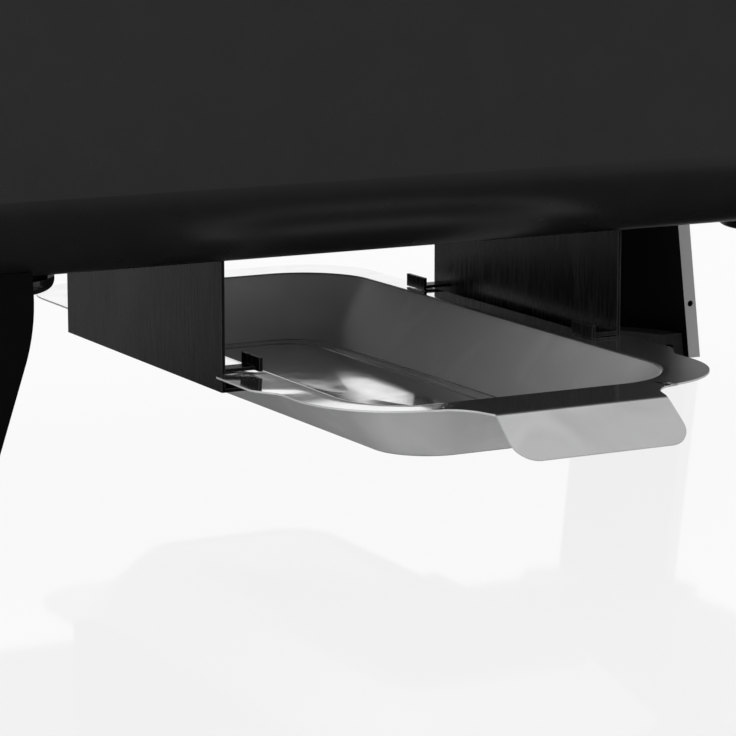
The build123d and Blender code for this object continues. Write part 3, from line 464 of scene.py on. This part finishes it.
def materials_by_slot():
    """One material for each slot of the record."""
    along_x = (0.06, 1.0, 1.0)
    along_z = (1.0, 1.0, 0.06)
    all_ways = (1.0, 1.0, 1.0)
    round_z = (1.0, 1.0, 4.0)
    zinc = (0.5, 0.51, 0.52), (0.62, 0.62, 0.63)
    plain_sheet = (0.45, 0.45, 0.46), (0.56, 0.56, 0.57)
    grained_black = (0.013, 0.013, 0.014), (0.019, 0.019, 0.02)
    cream = (0.6, 0.56, 0.46), (0.68, 0.64, 0.55)
    return {
        "body_enamel": body_enamel(),
        "bowl_enamel": bowl_enamel(),
        "drain_steel": drawn_metal("turned_steel", grey(0.42), grey(0.55), (0.25, 0.4), round_z),
        "runner_enamel": runner_enamel(),
        "tray_metal": tray_metal(),
        "leg_plastic": leg_plastic(),
        "foot_rubber": rubber(),
        "gloss_black": moulded("gloss_black", grey(0.006), grey(0.009), (0.06, 0.12), depth=0.004 * MM),
        "zinc_steel": drawn_metal("zinc_plate", *zinc, (0.25, 0.42), all_ways),
        "dark_steel": moulded("blackened_steel", grey(0.012), grey(0.022), (0.25, 0.4)),
        "grate_iron": cast_iron(),
        "coal_steel": coal_steel(),
        "element_steel": element_steel(),
        "bracket_steel": drawn_metal("plain_sheet", *plain_sheet, (0.28, 0.42), along_z),
        "control_plastic": moulded("grained_black", *grained_black, (0.42, 0.55), depth=0.05 * MM),
        "inlet_plastic": moulded("smooth_black", grey(0.01), grey(0.014), (0.3, 0.4)),
        "inner_plastic": moulded("cream_moulding", *cream, (0.4, 0.55)),
        "lamp_red": red_lamp(),
        "pin_brass": brass(),
        "handle_chrome": chrome(),
        "grip_plastic": moulded("phenolic_grip", grey(0.01), (0.016, 0.015, 0.015), (0.3, 0.42)),
        "damper_steel": drawn_metal("damper_sheet", grey(0.46), grey(0.58), (0.25, 0.4), along_x),
        "rail_enamel": moulded("rail_black", grey(0.008), grey(0.012), (0.25, 0.4)),
    }


# Outlines

def turned(arm, angle):
    """A flat vector turned anticlockwise."""
    return Vector((arm.x * cos(angle) - arm.y * sin(angle), arm.x * sin(angle) + arm.y * cos(angle)))


def corner_arc(before, here, after, radius, spacing):
    """Points round a corner between two others, or the corner itself where its radius is zero."""
    if radius == 0:
        return [here]
    back = (before - here).normalized()
    onward = (after - here).normalized()
    half_turn = back.angle(onward) / 2
    reach = radius / tan(half_turn)
    centre = here + (back + onward).normalized() * (radius / sin(half_turn))
    steps = max(ROUND_STEPS, int(radius * (pi - 2 * half_turn) / spacing) + 1)
    arm = here + back * reach - centre
    sweep = arm.angle_signed(here + onward * reach - centre)
    return [centre + turned(arm, -sweep * k / steps) for k in range(steps + 1)]


def rounded_outline(corners, spacing, closed=True):
    """Points about this far apart along an outline of (x, y, radius) corners."""
    count = len(corners)
    places = [Vector((x, y)) for x, y, radius in corners]
    arcs = []
    for i, (x, y, radius) in enumerate(corners):
        arcs.append(corner_arc(places[i - 1], places[i], places[(i + 1) % count], radius, spacing))
    points = []
    for i, arc in enumerate(arcs):
        points += arc
        if i + 1 < count or closed:
            gap_end = arcs[(i + 1) % count][0]
            steps = max(1, int((gap_end - arc[-1]).length / spacing))
            points += [arc[-1].lerp(gap_end, k / steps) for k in range(1, steps)]
    return points


class RoundedRectangle:
    """Outline with four round corners, in nine stretches, anticlockwise from the middle of its front."""

    def __init__(self, middle, half_x, half_y, corner):
        self.middle = middle
        self.half_x, self.half_y, self.corner = half_x, half_y, corner
        self.core_x, self.core_y = half_x - corner, half_y - corner
        arc = corner * pi / 2
        side = 2 * self.core_y
        self.lengths = [self.core_x, arc, side, arc, 2 * self.core_x, arc, side, arc, self.core_x]

    def nearest(self, point):
        """How far along the outline the point nearest to this one lies."""
        x, y = point - self.middle
        if abs(x) <= self.core_x:
            stretch, gone = (4, self.core_x - x) if y > 0 else (0, x) if x >= 0 else (8, self.core_x + x)
        elif abs(y) <= self.core_y:
            stretch, gone = (2, self.core_y + y) if x > 0 else (6, self.core_y - y)
        else:
            stretch = (3 if y > 0 else 1) if x > 0 else (5 if y > 0 else 7)
            turn = atan2(y - copysign(self.core_y, y), x - copysign(self.core_x, x))
            gone = self.corner * ((turn - (stretch - 3) * pi / 4) % (2 * pi))
        return sum(self.lengths[:stretch]) + gone

    def split(self, along):
        """The stretch that lies this far along the outline, and the share of it that is behind."""
        along %= sum(self.lengths)
        for stretch, length in enumerate(self.lengths):
            if along < length:
                return stretch, along / length
            along -= length
        return len(self.lengths) - 1, 1.0

    def point(self, stretch, share):
        """The point at this share of a stretch."""
        x, y = self.core_x, self.core_y
        ends = {0: ((0, -self.half_y), (x, -self.half_y)), 2: ((self.half_x, -y), (self.half_x, y)),
                4: ((x, self.half_y), (-x, self.half_y)), 6: ((-self.half_x, y), (-self.half_x, -y)),
                8: ((-x, -self.half_y), (0, -self.half_y))}
        if stretch in ends:
            start, end = ends[stretch]
            return self.middle + Vector(start).lerp(Vector(end), share)
        centre = Vector((x if stretch in (1, 3) else -x, y if stretch in (3, 5) else -y))
        turn = (stretch - 3) * pi / 4 + share * pi / 2
        return self.middle + centre + self.corner * Vector((cos(turn), sin(turn)))


def evened(places, whole, reach):
    """Places along a closed outline, each replaced by the mean of itself and its neighbours."""
    before = [place - whole for place in places[-reach:]]
    after = [place + whole for place in places[:reach]]
    row = before + places + after
    return [sum(row[i:i + 2 * reach + 1]) / (2 * reach + 1) for i in range(len(places))]


# Meshes

def join_rings(build, ring, following):
    """Faces between two closed rings of as many points."""
    for i in range(len(ring)):
        build.faces.new((ring[i - 1], ring[i], following[i], following[i - 1]))


def finished_mesh(build, name, sheet=False):
    """The built shape as a mesh whose faces look outwards, or upwards on an open sheet."""
    bmesh.ops.recalc_face_normals(build, faces=build.faces)
    if sheet and sum(face.normal.z * face.calc_area() for face in build.faces) < 0:
        bmesh.ops.reverse_faces(build, faces=build.faces)
    mesh = bpy.data.meshes.new(name)
    build.to_mesh(mesh)
    build.free()
    return mesh


def mesh_piece(mesh, slot_name, body, materials, smooth=True):
    """A new piece of the object, named as its mesh, that rides on a body."""
    for polygon in mesh.polygons:
        polygon.use_smooth = smooth
    piece = bpy.data.objects.new(mesh.name, mesh)
    bpy.context.scene.collection.objects.link(piece)
    mesh.materials.append(materials[slot_name])
    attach(piece, body)
    return piece


# Grease tray

def flange_outline(front, rear, ear_half):
    """The flange's edge, anticlockwise from the right end of the pull tab's root to its left end."""
    stop = rear - EAR_STOP_FROM_REAR
    ear_front = stop - EAR_LENGTH
    right_side = [
        (FLANGE_SHOULDER_HALF, front, FRONT_CORNER),
        (FLANGE_SHOULDER_HALF, ear_front - NECK_LENGTH, NECK_ROUND),
        (ear_half, ear_front, NECK_ROUND),
        (ear_half, stop, EAR_ROUND),
        (FLANGE_SIDE_HALF, stop, EAR_ROUND),
        (FLANGE_SIDE_HALF, rear, REAR_CORNER),
    ]
    left_side = [(-x, y, radius) for x, y, radius in reversed(right_side)]
    outline = rounded_outline(right_side + left_side, TRAY_SPACING)
    root_end = PULL_REACH + TRAY_SPACING / 2
    return [p for p in outline if abs(p.y - front) >= SAME_PLACE or abs(p.x) > root_end]


def tray_profile():
    """Inset from the tub's mouth and drop below the flange: rim, wall, two ledges along its foot, floor."""
    corners = [(-FLANGE_FLAT, 0.0, 0.0), (0.0, 0.0, RIM_ROUND), (TUB_DRAFT, TUB_DEPTH, BOTTOM_ROUND)]
    inset = TUB_DRAFT
    for width, rise in zip(LEDGE_WIDTHS, LEDGE_RISES):
        inset += width
        corners.append((inset, TUB_DEPTH - rise, LEDGE_ROUND))
        inset += LEDGE_BREAK
        corners.append((inset, TUB_DEPTH, LEDGE_ROUND))
    corners.append((inset + TUB_FLOOR_FLAT, TUB_DEPTH, 0.0))
    return rounded_outline(corners, PROFILE_SPACING, closed=False)


def tub_outline(middle, inset):
    """The tub's outline, this far inside its mouth."""
    return RoundedRectangle(middle, TUB_HALF_WIDTH - inset, TUB_LENGTH / 2 - inset, TUB_CORNER - inset / 2)


def tub_columns(mouth, edge):
    """The place on the tub's mouth that each point of the flange's edge leads to, evened out."""
    whole = sum(mouth.lengths)
    places = [mouth.nearest(edge[0])]
    for point in edge[1:]:
        place = mouth.nearest(point)
        places.append(place + whole if place < places[-1] - whole / 2 else place)
    return [mouth.split(place) for place in evened(places, whole, EVENED_REACH)]


def depth_share(y, front):
    """Share of the tub's depth at this place: the floor falls towards the rear."""
    return FRONT_DEPTH_SHARE + (REAR_DEPTH_SHARE - FRONT_DEPTH_SHARE) * (y - front) / FLANGE_LENGTH


def tray_rings(flange, pull_root, front, rear, top):
    """Rings of points from the flange's edge over the rim, down the walls and to the middle of the floor."""
    edge = flange + pull_root
    middle = Vector((0.0, rear - TUB_FROM_REAR - TUB_LENGTH / 2))
    profile = tray_profile()
    mouth = tub_outline(middle, profile[0].x)
    columns = tub_columns(mouth, edge)
    lip = [mouth.point(*column) for column in columns]
    tilt = evened([FLANGE_FALL] * len(flange) + [0.0] * len(pull_root), 0.0, EVENED_REACH)
    falls = [fall * min(1.0, max(0.0, -p.x / FLANGE_SIDE_HALF)) for p, fall in zip(edge, tilt)]
    rings = []
    for step in range(FLANGE_STEPS):
        share = step / FLANGE_STEPS
        rings.append([(*p.lerp(q, share), top - fall * share) for p, q, fall in zip(edge, lip, falls)])
    for inset, drop in profile:
        outline = tub_outline(middle, inset)
        wall = [outline.point(*column) for column in columns]
        left = 1 - drop / TUB_DEPTH
        drops = [fall * left + drop * depth_share(p.y, front) for p, fall in zip(wall, falls)]
        rings.append([(*p, top - depth) for p, depth in zip(wall, drops)])
    for step in range(1, SAG_RINGS):
        share = 1 - step / SAG_RINGS
        sag = TUB_FLOOR_SAG * (1 - share * share) ** 2
        bottom = [middle.lerp(p, share) for p in wall]
        rings.append([(*p, top - TUB_DEPTH * depth_share(p.y, front) - sag) for p in bottom])
    return rings


def rounding(radius, left):
    """How far a round corner has drawn in the edge, where this much is left before its end."""
    gap = min(max(radius - left, 0.0), radius)
    return radius - sqrt(radius ** 2 - gap ** 2)


def pull_half_width(run):
    """Half width of the pull tab, measured along its sheet."""
    if run <= PULL_LENGTH:
        half = PULL_CREASE_HALF + (PULL_ROOT_HALF - PULL_CREASE_HALF) * (1 - run / PULL_LENGTH)
        return half + rounding(PULL_ROOT_ROUND, run)
    share = (run - PULL_LENGTH) / PULL_DROP_LENGTH
    half = PULL_CREASE_HALF + (PULL_TIP_HALF - PULL_CREASE_HALF) * share
    return half - rounding(PULL_TIP_ROUND, PULL_LENGTH + PULL_DROP_LENGTH - run)


def pull_rows():
    """Half width, run forward and drop of each row of the pull tab, from the flange to its tip."""
    rows = []
    bend_reach = PULL_BEND_RADIUS * tan(PULL_DROP_ANGLE / 2)
    flat = PULL_LENGTH - bend_reach
    for step in range(1, PULL_FLAT_STEPS + 1):
        run = flat * step / PULL_FLAT_STEPS
        rows.append((pull_half_width(run), run, 0.0))
    for step in range(1, PULL_BEND_STEPS + 1):
        angle = PULL_DROP_ANGLE * step / PULL_BEND_STEPS
        run = flat + PULL_BEND_RADIUS * sin(angle)
        rows.append((pull_half_width(PULL_LENGTH), run, PULL_BEND_RADIUS * (1 - cos(angle))))
    straight = PULL_DROP_LENGTH - bend_reach
    for step in range(1, PULL_DROP_STEPS + 1):
        gone = bend_reach + straight * sin(step / PULL_DROP_STEPS * pi / 2)
        run = PULL_LENGTH + gone * cos(PULL_DROP_ANGLE)
        rows.append((pull_half_width(PULL_LENGTH + gone), run, gone * sin(PULL_DROP_ANGLE)))
    return rows


def bend_pull_tab(build, root_row, front, top):
    """Adds the pull tab's sheet to the flange, from its root to its tip."""
    shares = [v.co.x / PULL_REACH for v in root_row]
    previous = root_row
    for half_width, run, drop in pull_rows():
        row = [build.verts.new((share * half_width, front - run, top - drop)) for share in shares]
        for k in range(PULL_COLUMNS):
            build.faces.new((previous[k + 1], previous[k], row[k], row[k + 1]))
        previous = row


def grease_tray(materials):
    """Pressed tray: flange with ears and a waisted front, rounded rim, drafted walls and bent pull tab."""
    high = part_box("drip_tray")[1]
    rear, top = high.y, high.z
    front = rear - FLANGE_LENGTH
    flange = flange_outline(front, rear, ear_half=high.x)
    columns = range(PULL_COLUMNS + 1)
    pull_root = [Vector((PULL_REACH * (2 * k / PULL_COLUMNS - 1), front)) for k in columns]
    build = bmesh.new()
    rings = []
    for points in tray_rings(flange, pull_root, front, rear, top):
        rings.append([build.verts.new(point) for point in points])
    for upper, lower in zip(rings, rings[1:]):
        join_rings(build, upper, lower)
    build.faces.new(rings[-1])
    bend_pull_tab(build, rings[0][len(flange):], front, top)
    mesh = finished_mesh(build, "grease_tray", sheet=True)
    piece = mesh_piece(mesh, "tray_metal", "tray", materials)
    sheet = piece.modifiers.new("sheet", "SOLIDIFY")
    sheet.thickness = TRAY_SHEET
    sheet.offset = -1.0
    edge = piece.modifiers.new("edge", "BEVEL")
    edge.width = SHEET_EDGE_ROUND
    edge.segments = EDGE_SEGMENTS
    edge.limit_method = "ANGLE"
    edge.angle_limit = SHEET_EDGE_ANGLE
    edge.harden_normals = True
    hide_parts("drip_tray")


# Grips and marks

def turned_grip(node_name, materials):
    """Grip sleeve with shallow grooves for the fingers, turned about the handle's bar."""
    low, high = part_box(node_name)
    middle = (low + high) / 2
    radius = (high.z - low.z) / 2
    reach = (high.y - low.y) / 2
    corners = [(-reach, GRIP_BORE, 0.0), (-reach, radius, GRIP_END_ROUND)]
    for k in range(GRIP_GROOVES):
        place = (k - (GRIP_GROOVES - 1) / 2) * GRIP_GROOVE_SPACING
        corners.append((place - GRIP_GROOVE_HALF, radius, GRIP_GROOVE_ROUND))
        corners.append((place, radius - GRIP_GROOVE_DEPTH, GRIP_GROOVE_ROUND))
        corners.append((place + GRIP_GROOVE_HALF, radius, GRIP_GROOVE_ROUND))
    corners += [(reach, radius, GRIP_END_ROUND), (reach, GRIP_BORE, 0.0)]
    profile = rounded_outline(corners, GRIP_SPACING)
    build = bmesh.new()
    rings = []
    for side in range(GRIP_SIDES):
        angle = 2 * pi * side / GRIP_SIDES
        points = [middle + Vector((r * cos(angle), along, r * sin(angle))) for along, r in profile]
        rings.append([build.verts.new(point) for point in points])
    for ring, following in zip(rings, rings[1:] + rings[:1]):
        join_rings(build, ring, following)
    mesh = finished_mesh(build, node_name + "_sleeve")
    piece = mesh_piece(mesh, "grip_plastic", "root", materials)
    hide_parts(node_name)


def raised_marks(name, outlines, surface, body, materials):
    """Flat cream marks, one for each outline, moulded into a level surface and just proud of it."""
    build = bmesh.new()
    for outline in outlines:
        lower = [build.verts.new((*point, surface - MARK_SINK)) for point in outline]
        upper = [build.verts.new((*point, surface + MARK_HEIGHT)) for point in outline]
        build.faces.new(upper)
        build.faces.new(lower)
        join_rings(build, lower, upper)
    mesh_piece(finished_mesh(build, name), "inner_plastic", body, materials, smooth=False)


def bar_outline(middle, angle, inner, outer, width):
    """Corners of a bar that points away from a middle at this angle."""
    along = Vector((cos(angle), sin(angle)))
    across = Vector((-along.y, along.x)) * width / 2
    return [middle + along * inner - across, middle + along * outer - across,
            middle + along * outer + across, middle + along * inner + across]


def knob_marks(materials):
    """Scale on the knob's skirt, with longer and longer marks, and a pointer beside it on the cover."""
    low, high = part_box("knob")
    middle = ((low + high) / 2).xy
    scale = []
    for side in (0.0, pi):
        for k in range(SCALE_MARKS):
            share = k / (SCALE_MARKS - 1)
            angle = side + SCALE_SWEEP * (share - 1 / 2)
            length = SCALE_SHORT + (SCALE_LONG - SCALE_SHORT) * (share if side else 1 - share)
            scale.append(bar_outline(middle, angle, SCALE_RADIUS - length, SCALE_RADIUS, SCALE_WIDTH))
    raised_marks("knob_scale", scale, low.z + KNOB_SKIRT_HEIGHT, "thermostat_knob", materials)
    tip = middle + Vector((0.0, low.y - middle.y - MARKER_FROM_KNOB))
    base = tip - Vector((0.0, MARKER_LENGTH))
    aside = Vector((MARKER_HALF_WIDTH, 0.0))
    cover_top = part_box("control_cover")[1].z
    raised_marks("dial_pointer", [[tip, base - aside, base + aside]], cover_top, "element_unit", materials)


# Stage

def floor_material():
    """White with a faint shadow and mirror image; it glows a little, and metal mirrors a painted shadow in
    it, a dark disc.
    """
    material = bpy.data.materials.new("white_floor")
    material.use_nodes = True
    tree = NodeTree(material.node_tree)
    surface = tree.nodes["Principled BSDF"]
    lit = tree.fill(surface, Base_Color=FLOOR_COLOR, Roughness=FLOOR_ROUGHNESS).outputs["BSDF"]
    white = tree.add("Emission", Strength=BACKGROUND_STRENGTH).outputs["Emission"]
    mirror = tree.add("BsdfGlossy", Roughness=FLOOR_MIRROR_ROUGHNESS).outputs["BSDF"]
    seen = tree.mix(FLOOR_MIRROR_SHARE, tree.mix(FLOOR_WHITE_SHARE, lit, white), mirror)
    # The dark disc that metal mirrors in front of the grill is a painted shadow.
    distance = tree.measure("DISTANCE", tree.add("TexCoord").outputs["Object"], DISC_CENTRE)
    shade = tree.spread(distance, DISC_SHADE, BEYOND_DISC_SHADE, start=DISC_RADIUS, end=DISC_EDGE_END)
    mirrored = tree.add("BsdfDiffuse", Color=shade).outputs["BSDF"]
    glow = tree.add("Emission", Strength=FLOOR_GLOW).outputs["Emission"]
    lighting = tree.add("AddShader", lit, glow).outputs["Shader"]
    tree.fill(tree.nodes["Material Output"], Surface=tree.by_ray(seen, mirrored, lighting))
    return material


def studio_floor():
    """Square floor under the grill."""
    build = bmesh.new()
    signs = ((-1, -1), (1, -1), (1, 1), (-1, 1))
    build.faces.new([build.verts.new((x * FLOOR_HALF, y * FLOOR_HALF, 0.0)) for x, y in signs])
    mesh = bpy.data.meshes.new("floor")
    build.to_mesh(mesh)
    build.free()
    mesh.materials.append(floor_material())
    floor = bpy.data.objects.new("floor", mesh)
    bpy.context.scene.collection.objects.link(floor)
    return floor


def studio_world():
    """Soft light from all round, white where it is seen; metal mirrors a white back and a dimmer front."""
    world = bpy.data.worlds.new("studio")
    bpy.context.scene.world = world
    world.use_nodes = True
    tree = NodeTree(world.node_tree)
    light = tree.fill(tree.nodes["Background"], Color=WHITE, Strength=WORLD_STRENGTH)
    seen = tree.add("Background", Color=WHITE, Strength=BACKGROUND_STRENGTH)
    direction = tree.add("SeparateXYZ", tree.add("TexCoord").outputs["Generated"])
    backwards = direction.outputs["Y"]
    room = tree.spread(backwards, ROOM_STRENGTH, BACKGROUND_STRENGTH, start=BACKDROP_START, end=BACKDROP_END)
    mirrored = tree.add("Background", Color=WHITE, Strength=room)
    shaders = [node.outputs["Background"] for node in (seen, mirrored, light)]
    tree.fill(tree.nodes["World Output"], Surface=tree.by_ray(*shaders))


def area_light(name, place, target, size, power, mirrored=True, passed_over=None):
    """Rectangular lamp, which metal mirrors or not, and which can leave one object unlit."""
    data = bpy.data.lights.new(name, "AREA")
    data.shape = "RECTANGLE"
    data.size, data.size_y = size
    data.energy = power
    light = bpy.data.objects.new(name, data)
    light.location = place
    light.rotation_euler = (Vector(target) - Vector(place)).to_track_quat("-Z", "Y").to_euler()
    light.visible_glossy = mirrored
    bpy.context.scene.collection.objects.link(light)
    if passed_over:
        unlit = bpy.data.collections.new("unlit_by_" + name)
        unlit.objects.link(passed_over)
        unlit.collection_objects[0].light_linking.link_state = "EXCLUDE"
        light.light_linking.receiver_collection = unlit


def camera():
    """Long lens at the photograph's place, before the runners and to their left."""
    data = bpy.data.cameras.new("camera")
    data.sensor_fit = "HORIZONTAL"
    data.sensor_width = SENSOR_WIDTH
    data.lens = CAMERA_LENS
    eye = bpy.data.objects.new("camera", data)
    runner_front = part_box("left_runner")[1].y - RUNNER_LENGTH
    eye.location = (CAMERA_SIDE, runner_front - CAMERA_BEFORE_RUNNERS, CAMERA_HEIGHT)
    eye.rotation_euler = (pi / 2 - CAMERA_PITCH, 0.0, -CAMERA_YAW)
    bpy.context.scene.collection.objects.link(eye)
    bpy.context.scene.camera = eye


def dress_nodes(materials):
    """Every node of the model gets the material of its slot."""
    for subpart in frame["record"]["subparts"]:
        node = frame["nodes"][subpart["node"]]
        node.data.materials.clear()
        node.data.materials.append(materials[subpart["material_slot"]])


bpy.context.scene.view_settings.view_transform = "Standard"
slot_materials = materials_by_slot()
dress_nodes(slot_materials)
grease_tray(slot_materials)
turned_grip("right_grip", slot_materials)
turned_grip("left_grip", slot_materials)
knob_marks(slot_materials)
floor = studio_floor()
studio_world()
area_light("top_light", **TOP_LIGHT)
area_light("side_light", **SIDE_LIGHT, passed_over=floor)
area_light("front_light", **FRONT_LIGHT, mirrored=False)
camera()
